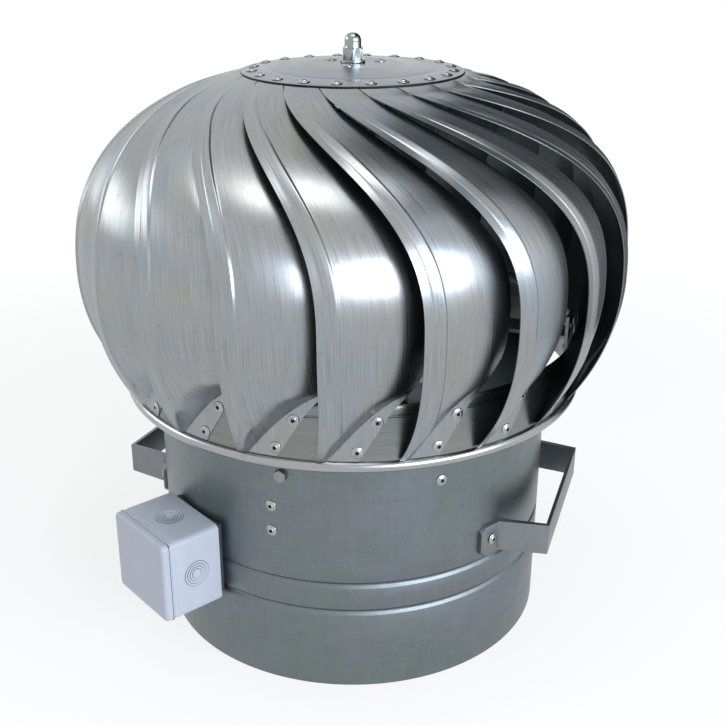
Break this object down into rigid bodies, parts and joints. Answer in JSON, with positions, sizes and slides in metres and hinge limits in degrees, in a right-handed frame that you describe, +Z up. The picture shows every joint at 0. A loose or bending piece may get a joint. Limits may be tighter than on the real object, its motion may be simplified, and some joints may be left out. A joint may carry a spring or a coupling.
{
  "type": "ventilation deflector",
  "caption": "Rotary turbine roof ventilator: a spherical head of swirled sheet blades turns on a round duct collar with strap handles and a junction box.",
  "frame": {"origin": "centre of the collar's bottom edge, on the turning axis", "axes": "+Z up along the turning axis; -Y towards the side the picture shows, so azimuth 0 looks along +Y"},
  "size_m": [0.4778, 0.4778, 0.5233],
  "materials": {
    "bearing_steel": "ground",
    "black_rubber": "matte",
    "blade_sheet": "brushed",
    "box_plastic": "matte",
    "bracket_sheet": "satin",
    "cast_aluminium": "cast",
    "collar_sheet": "satin",
    "disc_sheet": "satin",
    "foam": "matte",
    "handle_strap": "satin",
    "motor_iron": "matte",
    "polished_nut": "polished",
    "ring_sheet": "brushed",
    "rivet_steel": "satin",
    "terminal_plastic": "matte",
    "zinc_fastener": "satin"
  },
  "bodies": {
    "collar_assembly": {"base_collar": "collar_sheet", "bearing_housing": "cast_aluminium", "bearing_housing_bolts": "zinc_fastener", "box_body": "box_plastic", "box_foam_pad": "foam", "box_gasket": "black_rubber", "box_knockouts": "box_plastic", "box_lid": "box_plastic", "cable_grommet": "black_rubber", "handle_left": "handle_strap", "handle_right": "handle_strap", "handle_rivets": "rivet_steel", "lock_bolt": "zinc_fastener", "lock_nut": "zinc_fastener", "lower_bearing_outer": "bearing_steel", "motor_housing": "cast_aluminium", "motor_screws": "zinc_fastener", "motor_stator": "motor_iron", "terminal_block": "terminal_plastic", "traverse_lower": "bracket_sheet", "traverse_rivets": "rivet_steel", "traverse_upper": "bracket_sheet", "upper_bearing_outer": "bearing_steel"},
    "head": {"blade_01": "blade_sheet", "blade_02": "blade_sheet", "blade_03": "blade_sheet", "blade_04": "blade_sheet", "blade_05": "blade_sheet", "blade_06": "blade_sheet", "blade_07": "blade_sheet", "blade_08": "blade_sheet", "blade_09": "blade_sheet", "blade_10": "blade_sheet", "blade_11": "blade_sheet", "blade_12": "blade_sheet", "blade_13": "blade_sheet", "blade_14": "blade_sheet", "blade_15": "blade_sheet", "blade_16": "blade_sheet", "blade_17": "blade_sheet", "blade_18": "blade_sheet", "blade_19": "blade_sheet", "blade_20": "blade_sheet", "shaft": "bearing_steel", "motor_rotor": "motor_iron", "upper_bearing_inner": "bearing_steel", "lower_bearing_inner": "bearing_steel", "hub_flange": "cast_aluminium", "lower_hub": "cast_aluminium", "rotor_spider": "bracket_sheet", "lower_ring": "ring_sheet", "top_disc": "disc_sheet", "disc_backing_ring": "disc_sheet", "disc_rivets": "rivet_steel", "hub_rivets": "rivet_steel", "ring_rivets": "rivet_steel", "arm_rivets": "rivet_steel", "cap_nut": "polished_nut", "cap_washer": "polished_nut"}
  },
  "joints": [
    {"name": "head_spin", "type": "hinge", "parent": "collar_assembly", "child": "head", "pos_m": [0, 0, 0.24], "axis": [0, 0, 1], "continuous": true}
  ]
}
